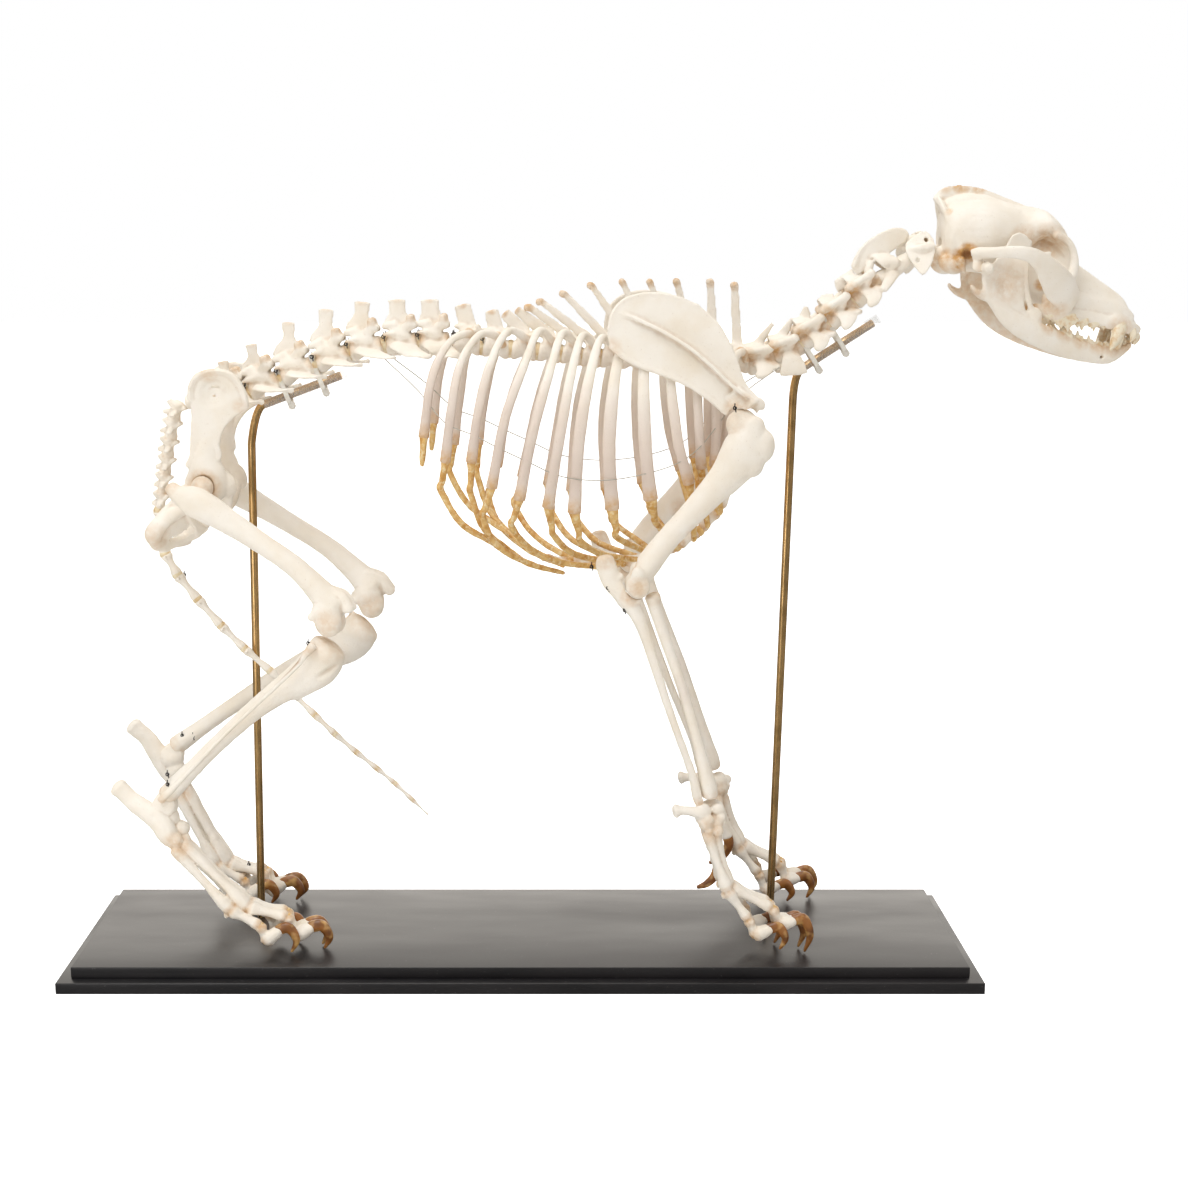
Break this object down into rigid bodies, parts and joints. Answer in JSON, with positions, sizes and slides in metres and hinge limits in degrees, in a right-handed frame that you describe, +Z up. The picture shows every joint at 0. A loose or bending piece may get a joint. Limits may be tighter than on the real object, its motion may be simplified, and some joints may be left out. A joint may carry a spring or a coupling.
{
  "type": "dog skeleton",
  "caption": "Mounted skeleton of a large dog, standing with its head forward on a black stepped baseboard and held under the spine by bent brass rods.",
  "frame": {"origin": "centre of the underside of the baseboard, where it rests on a table", "axes": "+X along the board towards the dog's head, +Y towards the dog's left side, +Z up"},
  "size_m": [0.938, 0.212, 0.683],
  "materials": {
    "bone": "matte",
    "cartilage": "satin",
    "claw": "satin",
    "board": "satin",
    "brass": "satin",
    "clear_plastic": "gloss",
    "nylon": "satin",
    "steel_wire": "satin"
  },
  "bodies": {
    "root": {"plinth": "board", "board": "board", "rear_rod": "brass", "rear_sleeve": "clear_plastic", "rear_tie_1": "nylon", "rear_tie_2": "nylon", "front_rod": "brass", "front_sleeve": "clear_plastic", "front_tie_1": "nylon", "front_tie_2": "nylon", "cranium": "bone", "mandible": "bone", "atlas": "bone", "axis": "bone", "neck_vertebrae": "bone", "thoracic_vertebrae": "bone", "lumbar_vertebrae": "bone", "sacrum": "bone", "tail_vertebrae": "bone", "pelvis": "bone", "sternum": "bone", "rib_1_right": "bone", "rib_2_right": "bone", "rib_3_right": "bone", "rib_4_right": "bone", "rib_5_right": "bone", "rib_6_right": "bone", "rib_7_right": "bone", "rib_8_right": "bone", "rib_9_right": "bone", "false_ribs_right": "bone", "rib_13_right": "bone", "scapula_right": "bone", "humerus_right": "bone", "radius_right": "bone", "ulna_right": "bone", "forepaw_right": "bone", "femur_right": "bone", "tibia_right": "bone", "hindpaw_right": "bone", "rib_1_left": "bone", "rib_2_left": "bone", "rib_3_left": "bone", "rib_4_left": "bone", "rib_5_left": "bone", "rib_6_left": "bone", "rib_7_left": "bone", "rib_8_left": "bone", "rib_9_left": "bone", "false_ribs_left": "bone", "rib_13_left": "bone", "scapula_left": "bone", "humerus_left": "bone", "radius_left": "bone", "ulna_left": "bone", "forepaw_left": "bone", "femur_left": "bone", "tibia_left": "bone", "hindpaw_left": "bone"}
  },
  "joints": []
}
